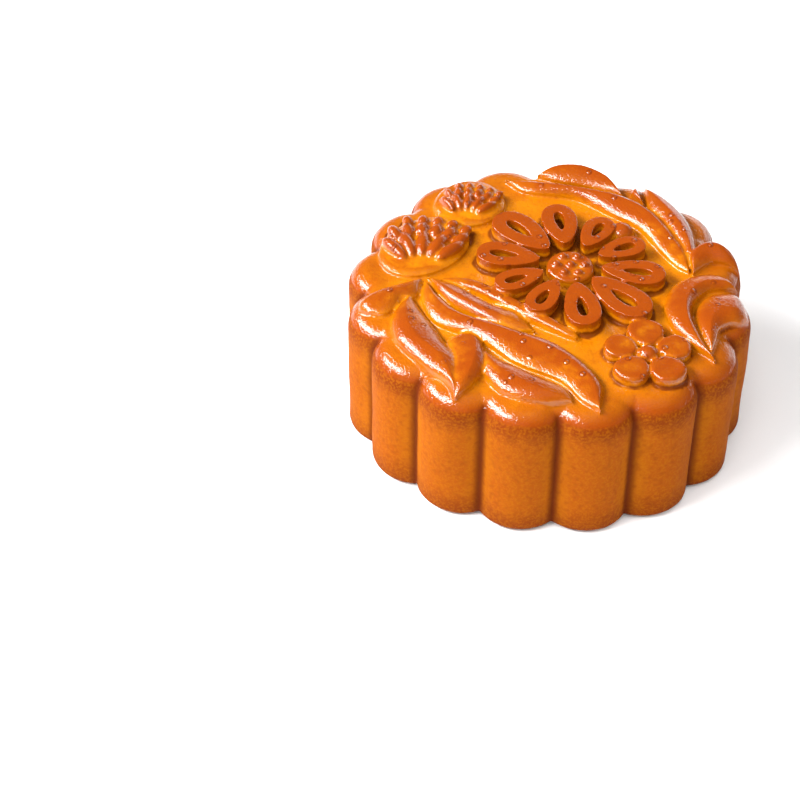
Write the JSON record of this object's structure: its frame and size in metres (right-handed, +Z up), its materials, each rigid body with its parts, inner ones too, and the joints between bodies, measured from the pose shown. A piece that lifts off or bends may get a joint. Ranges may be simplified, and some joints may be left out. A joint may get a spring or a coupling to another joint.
{
  "type": "mooncake",
  "caption": "Round moulded mooncake with a scalloped side, a rounded shoulder and a raised face of carved leaves, flower, blossom and fan buds.",
  "frame": {"origin": "centre of the underside, on the surface the cake stands on", "axes": "+Z up through the cake from base to carved face; -Y points at the groove nearest the viewer, +X to the viewer's right"},
  "size_m": [0.0774, 0.0773, 0.0323],
  "materials": {
    "baked_crust": "egg-washed baked dough: glossy orange-brown relief, yellower floors and satin golden sides"
  },
  "bodies": {
    "root": {"mooncake": "baked_crust"}
  },
  "joints": []
}
